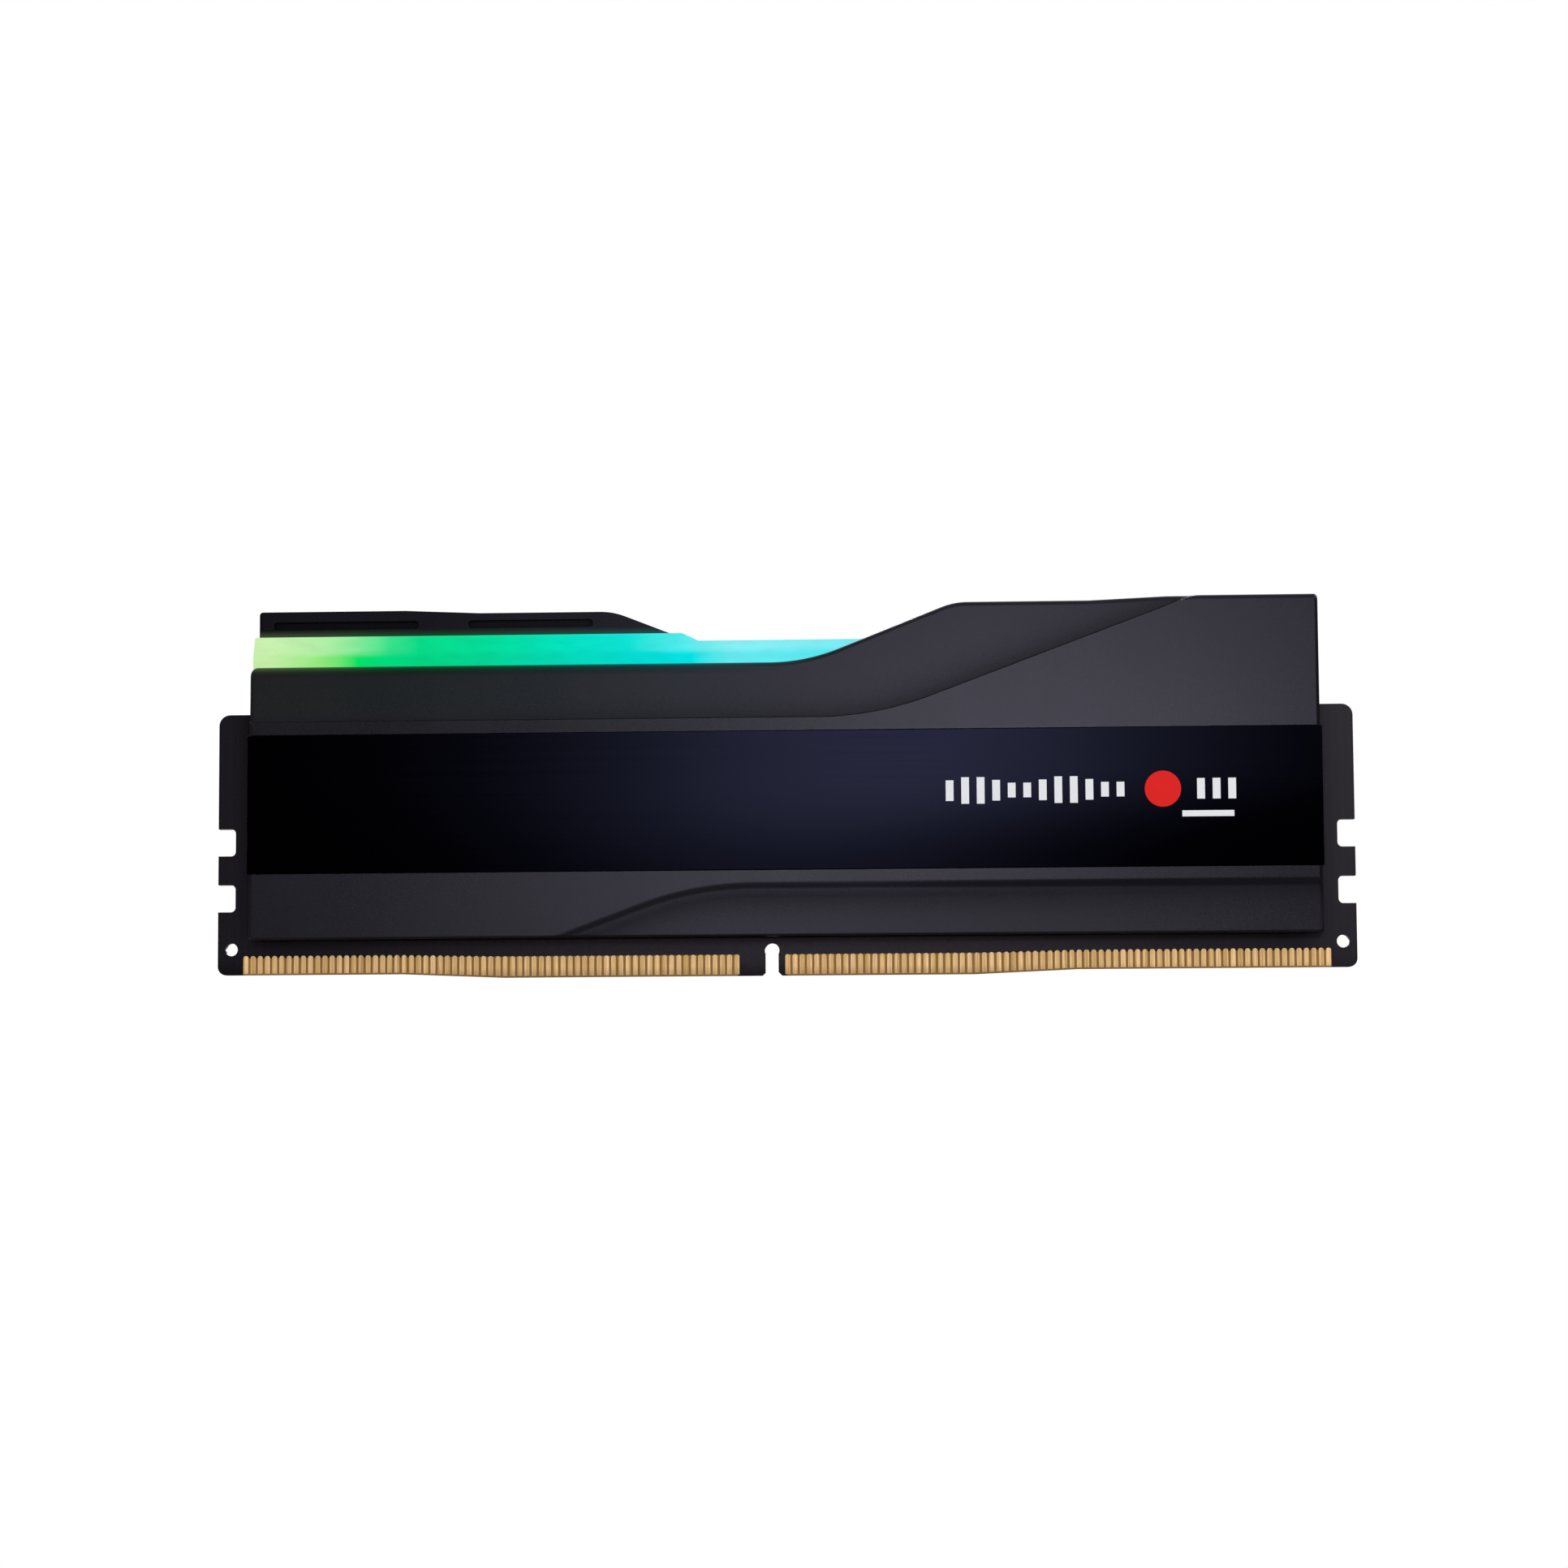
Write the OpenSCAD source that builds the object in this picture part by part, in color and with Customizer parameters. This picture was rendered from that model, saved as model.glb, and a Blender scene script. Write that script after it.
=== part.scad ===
// Desktop memory module with clamped heat spreaders and a light bar along its top edge.
// X runs along the module, the front faces -Y and +Z is up. The origin is the middle of the
// board's contact edge, on the mid-plane of the board. All sizes are in millimetres.

/* [Circuit board] */
// Width of the board
pcb_w = 133.35; // [133:0.05:134]
// Height of the board
pcb_h = 31.25; // [31:0.05:31.5]
// Thickness of the board
pcb_t = 1.27; // [1.17:0.01:1.37]
// Rise of the contact edge towards both ends
edge_rise = 0.5; // [0.2:0.1:0.6]
// Diameter of the two tooling holes
tooling_hole_d = 1.5; // [1.2:0.1:1.8]

/* [Contacts] */
// Distance from one contact to the next
contact_pitch = 0.85; // [0.84:0.005:0.85]
// Width of one contact
contact_w = 0.6; // [0.4:0.05:0.7]
// Height of one contact
contact_h = 2.35; // [2:0.05:2.6]
// Contacts to the left of the key notch on each face
contacts_left = 69; // [60:1:69]
// Contacts to the right of the key notch on each face
contacts_right = 75; // [60:1:75]

/* [Heat spreaders] */
// Width of both heat spreaders
spreader_w = 125; // [124.5:0.1:125.4]
// Height of the bottom edge above the contact edge
spreader_bottom = 4.5; // [4.2:0.1:5]
// Height of the low top edge, in front of the light bar
low_edge_h = 36.6; // [36:0.1:37.2]
// Height of the highest edge, at the end of the wing
module_h = 43.85; // [43.6:0.05:44.4]
// Thickness of the whole module
module_t = 8; // [7.8:0.1:8.4]
// Angle of the slope in the top edge
slope_angle = 21.5; // [19:0.5:23]
// Angle of the creases in the face
crease_angle = 20.4; // [19:0.1:22]
// Depth of the recessed fields below the raised panels
field_depth = 0.7; // [0.4:0.1:0.9]
// Width of the cove between a raised panel and a recessed field
cove_w = 1.5; // [1.3:0.1:3]

/* [Insert strips] */
// Height of the lower edge of the strip
strip_bottom = 12.15; // [11.8:0.05:12.5]
// Height of the upper edge of the strip
strip_top = 28.5; // [28.2:0.05:29]
// Thickness of the strip
strip_t = 0.5; // [0.4:0.05:0.5]

/* [Light bar] */
// Length of the light bar
bar_w = 124.8; // [123:0.1:124.8]
// Height of the top of the light bar
bar_top = 40.4; // [40:0.1:41]
// Height of the lowered middle of the light bar
bar_dip = 39.4; // [39:0.1:39.8]
// Number of light-emitting diodes under the bar
led_count = 8; // [5:1:8]

/* [Memory chips] */
// Width of one memory chip
chip_w = 10; // [9:0.1:10.5]
// Height of one memory chip
chip_h = 11; // [10:0.1:11.5]
// Thickness of one memory chip, with its solder balls
chip_t = 1.1; // [1:0.05:1.2]

/* [Hidden] */
$fn = 48;

mask_black = [0.09, 0.09, 0.1];
spreader_grey = [0.22, 0.21, 0.24];
strip_black = [0.04, 0.04, 0.07];
gold = [0.85, 0.68, 0.36];
resin_black = [0.12, 0.12, 0.13];
silk_white = [0.92, 0.92, 0.92];
accent_red = [0.85, 0.08, 0.06];

far = 200;
cut = 1;

// Board outline
board_front = pcb_t / 2;
top_corner_r = 1.3;
bottom_corner_r = 1;
edge_flat_left = -33;
edge_flat_right = 22.3;
edge_ramp_run = 12;
side_notch_depth = 2.05;
side_notch_h = 3.2;
side_notch_r = 0.55;
side_notch_heights = [9.52, 16.12];
tooling_hole_inset = 1.6;
tooling_hole_z = 3.5;
key_x = -1.4;
key_w = 1.5;
key_round_d = 1.7;
key_round_z = 2.92;
key_lead_in = 0.4;

// Contacts
contact_t = 0.05;
contact_edge_gap = 0.14;
contact_corner = 0.16;
contact_places = 150;
contact_first_x = -(contact_places - 1) / 2 * contact_pitch;

// Thickness stack, as distances from the mid-plane of the board
inner_face = 2.3;
strip_face = module_t / 2;
panel_face = strip_face - 0.1;
field_face = panel_face - field_depth;
adhesive_t = 0.1;
groove_face = strip_face - strip_t - adhesive_t;

// Heat spreader outline
foot_r = 22;
foot_x = -1.4;
shoulder_r = 8;
wing_low_h = module_h - 0.38;
wing_step_start = 36;
wing_step_end = 45;
low_corner_r = 0.8;
wing_corner_r = 0.4;
side_chamfer = 0.4;

// Creases in the face
crease_r = 38;
upper_crease = [4.2, 30.05];
lower_crease = [-3.4, 10.75];
cove_steps = 6;
cove_overlap = 0.25;
cove_ledge = 0.05;
cove_lip = 0.03;
slot_depth = 0.4;
slot_h = 0.9;
slot_z = 42.15;
slot_spans = [[22.6, 37.5], [43.4, 60.8]];

// Insert strip
strip_w = spreader_w + 0.4;
strip_gap = 0.05;
adhesive_margin = 0.6;

// Light bar
bar_half = 2.2;
bar_neck_half = 2;
bar_neck_top = 35.4;
bar_bottom = 31.5;
bar_facet_z = 38;
bar_crown_half = 1.3;
bar_crown_r = 0.3;
bar_dip_left = -9.8;
bar_dip_right = 12.8;
bar_dip_run = 2;
hook_x = 59.5;
hook_w = 4;
hook_bottom = 28.8;
hook_slot_half = 0.7;
hook_slot_top = 31.3;
tape_w = 112;
tape_h = 2.6;
tape_z = 33.4;

// Parts on the board
chip_first_x = 14;
chip_pitch = 12.5;
chip_z = 15.5;
chip_dot_d = 0.7;
chip_dot_depth = 0.04;
chip_step = 0.15;
chip_step_t = 0.35;
pad_overhang = 1;
pad_h = 9;
led_pitch = 15.5;
led_size = [2, 0.8, 1.4];
led_z = 30.4;
power_chip_size = [5, 0.85, 5];
power_z = 17;
hub_size = [3, 0.75, 2];
hub_z = 10.5;
driver_size = [4, 0.85, 4];
driver_place = [-5.5, 26.5];
inductor_size = [2.5, 1.1, 2];
inductor_z = 22.3;
bulk_size = [1.6, 0.8, 0.8];
small_size = [1, 0.5, 0.5];
resistor_size = [1, 0.35, 0.5];
resistor_z = 6.4;
power_pad_size = 5.6;
rear_pad_size = [112, 10];
pad_r = 0.5;

// Print and label
mark_t = 0.03;
mark_x = 19.5;
mark_z = 21.2;
mark_bars = 12;
mark_pitch = 1.8;
mark_bar_w = 0.9;
mark_bar_h = 2.4;
mark_bar_swing = 0.8;
mark_bar_phase = 60;
mark_end_bars = 3;
mark_end_x = 48.6;
mark_line = [6, 0.7];
mark_line_x = 49.4;
mark_line_z = 18.3;
mark_dot_x = 44.2;
mark_dot_d = 4.2;
label_size = [36, 11];
label_x = 20;
label_t = 0.08;
label_r = 0.8;

// Points of an arc around a centre, from angle a to angle b
function arc(centre, r, a, b, steps = 8) =
    [for (i = [0 : steps]) let (t = a + (b - a) * i / steps) centre + r * [cos(t), sin(t)]];

// Height of the contact edge at a place along the board
function edge_z(x) =
    x < edge_flat_left ? edge_rise * min(1, (edge_flat_left - x) / edge_ramp_run)
    : x > edge_flat_right ? edge_rise * min(1, (x - edge_flat_right) / edge_ramp_run)
    : 0;

// Places of the contacts on the front face
function contact_x(i) = contact_first_x + i * contact_pitch;
left_places = [for (i = [0 : contacts_left - 1]) contact_x(i)];
right_places = [for (i = [contact_places - contacts_right : contact_places - 1]) contact_x(i)];

// A flat shape in X and Z made solid between two distances in front of the mid-plane
module slab(from, to) {
    translate([0, -from, 0]) rotate([90, 0, 0])
        linear_extrude(height = to - from) children();
}

// A flat shape in Y and Z made solid along X, centred on the module
module along_x(length) {
    rotate([90, 0, 90]) linear_extrude(height = length, center = true) children();
}

// A box centred on x and z that stands on the board's front face
module on_board(size, x, z) {
    translate([x - size[0] / 2, -board_front - size[1], z - size[2] / 2]) cube(size);
}

module rounded_box_2d(w, h, r) {
    x = w / 2 - r;
    y = h / 2 - r;
    polygon(concat(
        arc([x, y], r, 0, 90),
        arc([-x, y], r, 90, 180),
        arc([-x, -y], r, 180, 270),
        arc([x, -y], r, 270, 360)
    ));
}

// ---------- board and contacts ----------

module board_outline() {
    side = pcb_w / 2;
    top = [side - top_corner_r, pcb_h - top_corner_r];
    low = [side - bottom_corner_r, edge_rise + bottom_corner_r];
    polygon(concat(
        arc(top, top_corner_r, 0, 90),
        arc([-top[0], top[1]], top_corner_r, 90, 180),
        arc([-low[0], low[1]], bottom_corner_r, 180, 270),
        [[edge_flat_left - edge_ramp_run, edge_rise]],
        [[edge_flat_left, 0]],
        [[edge_flat_right, 0]],
        [[edge_flat_right + edge_ramp_run, edge_rise]],
        arc(low, bottom_corner_r, 270, 360)
    ));
}

module key_notch() {
    translate([key_x - key_w / 2, -cut]) square([key_w, key_round_z + cut]);
    translate([key_x, key_round_z]) circle(d = key_round_d);
    half = key_w / 2 + key_lead_in;
    polygon([
        [key_x - half - cut, -cut],
        [key_x + half + cut, -cut],
        [key_x + half - key_lead_in, key_lead_in],
        [key_x - half + key_lead_in, key_lead_in]
    ]);
}

module pcb() {
    color(mask_black) difference() {
        slab(-board_front, board_front) board_outline();
        slab(-board_front - cut, board_front + cut) {
            key_notch();
            for (side = [-1, 1], z = side_notch_heights)
                translate([side * pcb_w / 2, z])
                    rounded_box_2d(2 * side_notch_depth, side_notch_h, side_notch_r);
        }
        for (side = [-1, 1])
            translate([side * (pcb_w / 2 - tooling_hole_inset), 0, tooling_hole_z])
                rotate([90, 0, 0])
                    cylinder(d = tooling_hole_d, h = pcb_t + 2 * cut, center = true);
    }
}

module contact(x) {
    half = contact_w / 2;
    bottom = edge_z(x) + contact_edge_gap;
    top = edge_z(x) / 2 + contact_edge_gap + contact_h;
    polygon([
        [x - half, bottom],
        [x + half, bottom],
        [x + half, top - contact_corner],
        [x + half - contact_corner, top],
        [x - half + contact_corner, top],
        [x - half, top - contact_corner]
    ]);
}

module edge_contacts_front() {
    color(gold)
        for (x = concat(left_places, right_places))
            slab(board_front, board_front + contact_t) contact(x);
}

module edge_contacts_rear() {
    color(gold)
        for (x = concat(left_places, right_places))
            slab(-board_front - contact_t, -board_front) contact(x);
}

// ---------- parts soldered to the board ----------

// A ball-grid package: a thin carrier with the moulded body on top
module dram_chip(x) {
    color(resin_black) difference() {
        union() {
            on_board([chip_w, chip_step_t, chip_h], x, chip_z);
            on_board([chip_w - 2 * chip_step, chip_t, chip_h - 2 * chip_step], x, chip_z);
        }
        translate([x - chip_w / 2 + 1, -board_front - chip_t + chip_dot_depth, chip_z + chip_h / 2 - 1])
            rotate([90, 0, 0]) cylinder(d = chip_dot_d, h = cut);
    }
}

function chip_x(i) =
    i < 4 ? -chip_first_x - (3 - i) * chip_pitch : chip_first_x + (i - 4) * chip_pitch;

module dram_chip_1() { dram_chip(chip_x(0)); }
module dram_chip_2() { dram_chip(chip_x(1)); }
module dram_chip_3() { dram_chip(chip_x(2)); }
module dram_chip_4() { dram_chip(chip_x(3)); }
module dram_chip_5() { dram_chip(chip_x(4)); }
module dram_chip_6() { dram_chip(chip_x(5)); }
module dram_chip_7() { dram_chip(chip_x(6)); }
module dram_chip_8() { dram_chip(chip_x(7)); }

module power_chip() { color(resin_black) on_board(power_chip_size, 0, power_z); }
module spd_hub_chip() { color(resin_black) on_board(hub_size, 0, hub_z); }

module led_driver_chip() {
    color(resin_black) on_board(driver_size, driver_place[0], driver_place[1]);
}

module power_inductors() {
    color("dimgray") for (x = [-3.2, 0, 3.2]) on_board(inductor_size, x, inductor_z);
}

module bulk_capacitors() {
    color("tan") for (x = [-4.2, 4.2], rise = [-2.5, 0, 2.5]) on_board(bulk_size, x, power_z + rise);
}

module decoupling_capacitors() {
    color("tan") for (i = [0 : 7], across = [-3.6, -1.2, 1.2, 3.6], rise = [-7, 7])
        on_board(small_size, chip_x(i) + across, chip_z + rise);
}

module bus_resistors() {
    color("black") for (side = [-1, 1], i = [0 : 5])
        on_board(resistor_size, side * (5 + 1.8 * i), resistor_z);
}

module rgb_leds() {
    color("white") for (i = [0 : led_count - 1])
        on_board(led_size, (i - (led_count - 1) / 2) * led_pitch, led_z);
}

// ---------- thermal pads ----------

// A soft pad that fills the gap between two depths, centred on a place on the board
module thermal_pad(from, to, place, size) {
    color("lightgray") slab(from, to) translate(place) rounded_box_2d(size[0], size[1], pad_r);
}

module dram_pad(side) {
    span = 3 * chip_pitch + chip_w + 2 * pad_overhang;
    centre = side * (chip_first_x + 1.5 * chip_pitch);
    thermal_pad(board_front + chip_t, inner_face, [centre, chip_z], [span, pad_h]);
}

module dram_pad_left() { dram_pad(-1); }
module dram_pad_right() { dram_pad(1); }

module power_pad() {
    thermal_pad(
        board_front + power_chip_size[1], inner_face, [0, power_z], [power_pad_size, power_pad_size]
    );
}

module rear_pad() { thermal_pad(-inner_face, -board_front, [0, chip_z], rear_pad_size); }

// ---------- heat spreaders ----------

// Top edge from the low edge up the slope to the wing, as a foot arc and a shoulder arc
function top_edge_slope() =
    let (
        rise = wing_low_h - low_edge_h - (foot_r + shoulder_r) * (1 - cos(slope_angle)),
        shoulder_x = foot_x + (foot_r + shoulder_r) * sin(slope_angle) + rise / tan(slope_angle)
    )
    concat(
        arc([foot_x, low_edge_h + foot_r], foot_r, -90, slope_angle - 90, 10),
        arc([shoulder_x, wing_low_h - shoulder_r], shoulder_r, 90 + slope_angle, 90, 6)
    );

module spreader_outline() {
    side = spreader_w / 2;
    polygon(concat(
        [[-side, spreader_bottom]],
        arc([-side + low_corner_r, low_edge_h - low_corner_r], low_corner_r, 180, 90),
        top_edge_slope(),
        [[wing_step_start, wing_low_h]],
        [[wing_step_end, module_h]],
        arc([side - wing_corner_r, module_h - wing_corner_r], wing_corner_r, 90, 0),
        [[side, spreader_bottom]]
    ));
}

// The turn of a crease, from level to the crease angle
crease_turn = arc([0, crease_r], crease_r, -90, crease_angle - 90);

// The side of a crease that is recessed: straight, then the turn, then straight at the crease angle
module field_2d() {
    end = crease_turn[len(crease_turn) - 1] + far * [cos(crease_angle), sin(crease_angle)];
    polygon(concat([[-far, 0]], crease_turn, [end], [[-far, end[1]]]));
}

// Cross-section of the cove: distance from the crease and height above the field
module cove_2d() {
    lip = field_depth - cove_lip;
    run = cove_w - cove_ledge;
    r = (run * run + lip * lip) / (2 * lip);
    polygon(concat(
        arc([cove_w, r], r, -90, -90 - asin(run / r), cove_steps),
        [[-cove_overlap, lip]],
        [[-cove_overlap, -cove_overlap]],
        [[cove_w, -cove_overlap]]
    ));
}

// A straight stretch of cove that starts at a point of the crease and laps into its neighbours
module cove_run(start, angle, length) {
    translate([start[0], -field_face, start[1]]) rotate([0, -angle, 0])
        translate([-cove_overlap, 0, 0]) rotate([90, 0, 90]) rotate([0, 0, 90])
            linear_extrude(height = length + 2 * cove_overlap) cove_2d();
}

// The cove along a whole crease, one stretch for each stretch of its turn
module cove() {
    last = len(crease_turn) - 1;
    cove_run([-far, 0], 0, far);
    for (i = [0 : last - 1]) {
        step = crease_turn[i + 1] - crease_turn[i];
        cove_run(crease_turn[i], atan2(step[1], step[0]), norm(step));
    }
    cove_run(crease_turn[last], crease_angle, far);
}

module side_chamfers() {
    side = spreader_w / 2;
    translate([0, 0, -cut]) linear_extrude(height = far) polygon([
        [-side, 0],
        [-side, -panel_face + side_chamfer],
        [-side + side_chamfer, -panel_face],
        [side - side_chamfer, -panel_face],
        [side, -panel_face + side_chamfer],
        [side, 0]
    ]);
}

module heatspreader() {
    difference() {
        intersection() {
            union() {
                difference() {
                    slab(inner_face, panel_face) spreader_outline();
                    slab(field_face, panel_face + cut) {
                        translate(upper_crease) field_2d();
                        translate(lower_crease) rotate(180) field_2d();
                    }
                }
                intersection() {
                    union() {
                        translate([upper_crease[0], 0, upper_crease[1]]) cove();
                        translate([lower_crease[0], 0, lower_crease[1]]) rotate([0, 180, 0]) cove();
                    }
                    slab(inner_face, panel_face) spreader_outline();
                }
            }
            side_chamfers();
        }
        slab(groove_face, panel_face + cut)
            translate([-far / 2, strip_bottom]) square([far, strip_top - strip_bottom]);
        slab(inner_face - cut, inner_face + slot_depth)
            for (span = slot_spans)
                translate([(span[0] + span[1]) / 2, slot_z])
                    rounded_box_2d(span[1] - span[0], slot_h, slot_h / 2 - 0.01);
    }
}

module heatspreader_front() { color(spreader_grey) heatspreader(); }
module heatspreader_rear() { color(spreader_grey) rotate([0, 0, 180]) heatspreader(); }

// ---------- insert strips ----------

module strip_adhesive() {
    slab(groove_face, groove_face + adhesive_t)
        translate([0, (strip_bottom + strip_top) / 2])
            square([
                spreader_w - 2 * adhesive_margin - 2 * side_chamfer,
                strip_top - strip_bottom - 2 * adhesive_margin
            ], center = true);
}

module strip_adhesive_front() { color("gainsboro") strip_adhesive(); }
module strip_adhesive_rear() { color("gainsboro") rotate([0, 0, 180]) strip_adhesive(); }

module insert_strip() {
    slab(strip_face - strip_t, strip_face)
        translate([0, (strip_bottom + strip_top) / 2])
            square([strip_w, strip_top - strip_bottom - 2 * strip_gap], center = true);
}

module insert_strip_front() { color(strip_black) insert_strip(); }
module insert_strip_rear() { color(strip_black) rotate([0, 0, 180]) insert_strip(); }

// ---------- light bar ----------

module bar_profile() {
    polygon([
        [-bar_neck_half, bar_bottom],
        [bar_neck_half, bar_bottom],
        [bar_neck_half, bar_neck_top],
        [bar_half, bar_neck_top],
        [bar_half, bar_facet_z],
        [bar_crown_half, bar_top - bar_crown_r],
        [bar_crown_half - bar_crown_r, bar_top],
        [-bar_crown_half + bar_crown_r, bar_top],
        [-bar_crown_half, bar_top - bar_crown_r],
        [-bar_half, bar_facet_z],
        [-bar_half, bar_neck_top],
        [-bar_neck_half, bar_neck_top]
    ]);
}

// Two legs that straddle the top edge of the board
module bar_hook(x) {
    translate([x, 0, 0]) difference() {
        translate([-hook_w / 2, -bar_neck_half, hook_bottom])
            cube([hook_w, 2 * bar_neck_half, bar_bottom - hook_bottom + cut]);
        translate([-hook_w / 2 - cut, -hook_slot_half, hook_bottom - cut])
            cube([hook_w + 2 * cut, 2 * hook_slot_half, hook_slot_top - hook_bottom + cut]);
    }
}

module light_bar() {
    color("aquamarine") {
        difference() {
            along_x(bar_w) bar_profile();
            slab(-bar_half - cut, bar_half + cut) polygon([
                [bar_dip_left, bar_dip],
                [bar_dip_right, bar_dip],
                [bar_dip_right + bar_dip_run, bar_top],
                [bar_dip_right + bar_dip_run, bar_top + cut],
                [bar_dip_left - bar_dip_run, bar_top + cut],
                [bar_dip_left - bar_dip_run, bar_top]
            ]);
        }
        bar_hook(-hook_x);
        bar_hook(hook_x);
    }
}

module light_bar_tape() {
    slab(bar_neck_half, inner_face) translate([0, tape_z]) square([tape_w, tape_h], center = true);
}

module light_bar_tape_front() { color("dimgray") light_bar_tape(); }
module light_bar_tape_rear() { color("dimgray") rotate([0, 0, 180]) light_bar_tape(); }

// ---------- print and label ----------

// Upright bars whose heights rise and fall, then a gap for the accent, then three level bars
module mark_white() {
    slab(strip_face, strip_face + mark_t) {
        for (i = [0 : mark_bars - 1])
            translate([mark_x + i * mark_pitch, mark_z])
                square([mark_bar_w, mark_bar_h + mark_bar_swing * sin(i * mark_bar_phase)], center = true);
        for (i = [0 : mark_end_bars - 1])
            translate([mark_end_x + i * mark_pitch, mark_z])
                square([mark_bar_w, mark_bar_h], center = true);
        translate([mark_line_x, mark_line_z]) square(mark_line, center = true);
    }
}

module mark_red() {
    translate([mark_dot_x, -strip_face, mark_z]) rotate([90, 0, 0]) cylinder(d = mark_dot_d, h = mark_t);
}

module mark_white_front() { color(silk_white) mark_white(); }
module mark_white_rear() { color(silk_white) rotate([0, 0, 180]) mark_white(); }
module mark_red_front() { color(accent_red) mark_red(); }
module mark_red_rear() { color(accent_red) rotate([0, 0, 180]) mark_red(); }

module rear_label() {
    color("silver") slab(-strip_face - label_t, -strip_face)
        translate([label_x, (strip_bottom + strip_top) / 2])
            rounded_box_2d(label_size[0], label_size[1], label_r);
}

pcb();
edge_contacts_front();
edge_contacts_rear();
dram_chip_1();
dram_chip_2();
dram_chip_3();
dram_chip_4();
dram_chip_5();
dram_chip_6();
dram_chip_7();
dram_chip_8();
power_chip();
spd_hub_chip();
led_driver_chip();
power_inductors();
bulk_capacitors();
decoupling_capacitors();
bus_resistors();
rgb_leds();
dram_pad_left();
dram_pad_right();
power_pad();
rear_pad();
heatspreader_front();
heatspreader_rear();
strip_adhesive_front();
strip_adhesive_rear();
insert_strip_front();
insert_strip_rear();
light_bar();
light_bar_tape_front();
light_bar_tape_rear();
mark_white_front();
mark_white_rear();
mark_red_front();
mark_red_rear();
rear_label();
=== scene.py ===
"""Looks of the desktop memory module: refined pieces, procedural finishes, studio light and camera."""

import math

import bmesh
import bpy
from mathutils import Matrix, Vector


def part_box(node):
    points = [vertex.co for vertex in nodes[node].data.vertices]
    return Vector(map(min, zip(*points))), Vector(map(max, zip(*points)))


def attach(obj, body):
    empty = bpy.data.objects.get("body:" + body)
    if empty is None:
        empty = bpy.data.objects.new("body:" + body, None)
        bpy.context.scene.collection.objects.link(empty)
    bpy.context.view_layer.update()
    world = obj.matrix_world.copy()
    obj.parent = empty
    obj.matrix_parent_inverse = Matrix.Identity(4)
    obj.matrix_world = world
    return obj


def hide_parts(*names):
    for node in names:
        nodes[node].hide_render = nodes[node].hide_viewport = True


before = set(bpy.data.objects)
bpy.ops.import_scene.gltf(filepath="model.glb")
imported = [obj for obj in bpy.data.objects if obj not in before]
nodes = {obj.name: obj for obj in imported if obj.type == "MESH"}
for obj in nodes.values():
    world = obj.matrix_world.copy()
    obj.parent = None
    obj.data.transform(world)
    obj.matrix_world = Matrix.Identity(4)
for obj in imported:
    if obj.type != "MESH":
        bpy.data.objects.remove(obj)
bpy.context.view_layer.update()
MM = 0.001
WHITE = (1, 1, 1, 1)

# Slots in the inner face of each spreader's wing, in millimetres
SLOT_Z, SLOT_H, SLOT_DEPTH = 42.15, 0.9, 0.4
SLOT_SPANS = ((22.6, 37.5), (43.4, 60.8))


# ---------------------------------------------------------------- node trees

def linear(*rgb):
    """An sRGB colour given as 0-255 values, in linear light with full alpha."""
    def channel(v):
        v /= 255
        return v / 12.92 if v <= 0.04045 else ((v + 0.055) / 1.055) ** 2.4
    return (*(channel(v) for v in rgb), 1.0)


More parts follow.
